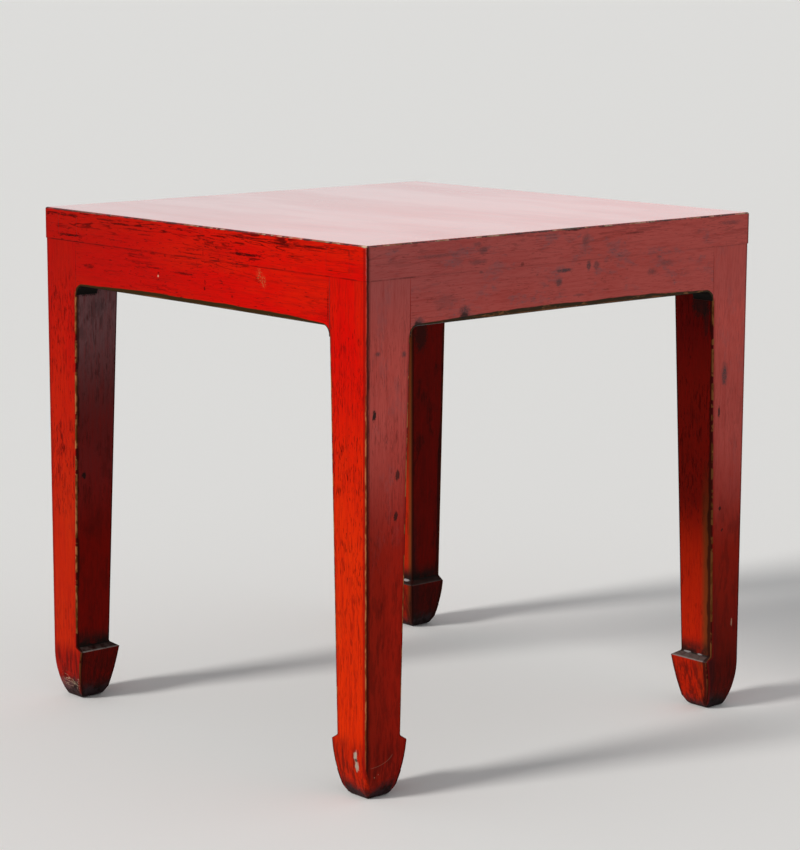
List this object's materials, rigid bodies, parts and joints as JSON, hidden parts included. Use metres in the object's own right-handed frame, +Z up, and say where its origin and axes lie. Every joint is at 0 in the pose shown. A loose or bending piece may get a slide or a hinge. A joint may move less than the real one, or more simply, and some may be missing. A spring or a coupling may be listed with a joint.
{
  "type": "vase stand",
  "caption": "Low square vase stand with flush sides, a mitred frame top with floating panel, plain aprons and inward-turned hoof feet, in worn red lacquer.",
  "frame": {"origin": "centre of the footprint, on the floor", "axes": "+Z up, front is -Y, right is +X; the end grain of the through tenons shows on the front and the rear"},
  "size_m": [0.35, 0.356, 0.357],
  "materials": {
    "red_lacquer": "worn satin lacquer over wood",
    "wedge_wood": "end grain under worn lacquer",
    "underside_wood": "dark stained wood"
  },
  "bodies": {
    "root": {"front_stile": "red_lacquer", "rear_stile": "red_lacquer", "left_rail": "red_lacquer", "right_rail": "red_lacquer", "front_panel_board": "red_lacquer", "middle_panel_board": "red_lacquer", "rear_panel_board": "red_lacquer", "front_apron": "red_lacquer", "rear_apron": "red_lacquer", "left_apron": "red_lacquer", "right_apron": "red_lacquer", "front_left_leg": "red_lacquer", "front_right_leg": "red_lacquer", "rear_left_leg": "red_lacquer", "rear_right_leg": "red_lacquer", "tenon_wedges": "wedge_wood", "left_batten": "underside_wood", "right_batten": "underside_wood"}
  },
  "joints": []
}
